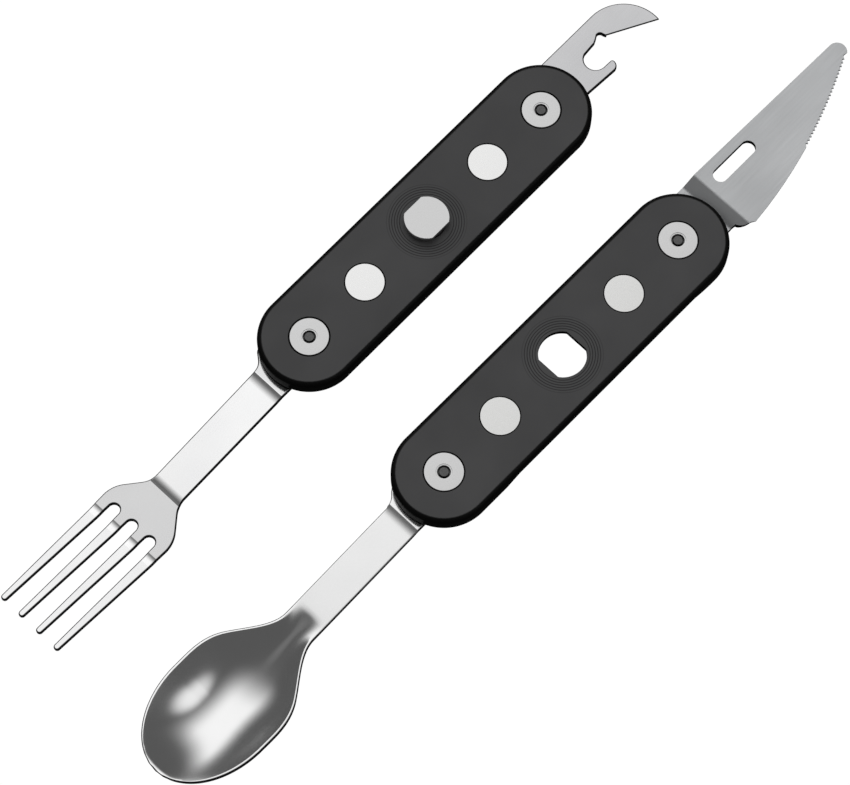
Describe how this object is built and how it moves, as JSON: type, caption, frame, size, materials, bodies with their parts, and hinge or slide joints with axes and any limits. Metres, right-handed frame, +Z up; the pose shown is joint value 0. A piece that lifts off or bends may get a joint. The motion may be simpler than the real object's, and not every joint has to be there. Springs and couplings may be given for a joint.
{
  "type": "picnic cutlery",
  "caption": "Folding picnic cutlery in two black handles: a fork with a can and bottle opener, and a spoon with a serrated knife, coupled by a flatted stud, a socket and magnets.",
  "frame": {"origin": "bottom centre of the box round both halves as they lie side by side, opened out; z = 0 is the lowest point of the spoon's bowl", "axes": "+X runs along the handles from the fork and spoon towards the opener and knife, +Y runs across from the spoon half to the fork half, +Z is up, out of the inner faces"},
  "size_m": [0.2426, 0.0719, 0.0196],
  "materials": {
    "shell": "satin black, softly rounded edges",
    "cutlery_steel": "polished stainless steel",
    "blade_steel": "fine satin stainless steel",
    "washer_steel": "light satin steel",
    "pin_steel": "dark oxide steel",
    "magnet_nickel": "nickel plated, finely grained",
    "friction_washer": "plain brass"
  },
  "bodies": {
    "fork_half": {"fork_handle": "shell", "fork_pivot_washer": "washer_steel", "fork_pivot_pin": "pin_steel", "fork_friction_washer": "friction_washer", "opener_pivot_washer": "washer_steel", "opener_pivot_pin": "pin_steel", "opener_friction_washer": "friction_washer", "fork_half_magnet_near_fork": "magnet_nickel", "fork_half_magnet_near_opener": "magnet_nickel", "coupling_stud": "washer_steel"},
    "fork": {"fork": "cutlery_steel"},
    "opener": {"opener": "blade_steel"},
    "spoon_half": {"spoon_handle": "shell", "spoon_pivot_washer": "washer_steel", "spoon_pivot_pin": "pin_steel", "spoon_friction_washer": "friction_washer", "knife_pivot_washer": "washer_steel", "knife_pivot_pin": "pin_steel", "knife_friction_washer": "friction_washer", "spoon_half_magnet_near_spoon": "magnet_nickel", "spoon_half_magnet_near_knife": "magnet_nickel"},
    "spoon": {"spoon": "cutlery_steel"},
    "knife": {"knife": "blade_steel"}
  },
  "joints": [
    {"name": "fork_fold", "type": "hinge", "parent": "fork_half", "child": "fork", "pos_m": [-0.02392, 0.02361, 0.01145], "axis": [0, 0, -1], "range_deg": [0, 180]},
    {"name": "opener_fold", "type": "hinge", "parent": "fork_half", "child": "opener", "pos_m": [0.05658, 0.02361, 0.01145], "axis": [0, 0, 1], "range_deg": [0, 180]},
    {"name": "spoon_half_apart", "type": "slide", "parent": "fork_half", "child": "spoon_half", "axis": [0, -1, 0], "range_m": [0, 0.06]},
    {"name": "spoon_fold", "type": "hinge", "parent": "spoon_half", "child": "spoon", "pos_m": [-0.02647, -0.02232, 0.01145], "axis": [0, 0, 1], "range_deg": [0, 180]},
    {"name": "knife_fold", "type": "hinge", "parent": "spoon_half", "child": "knife", "pos_m": [0.05402, -0.02308, 0.01145], "axis": [0, 0, -1], "range_deg": [0, 180]}
  ]
}
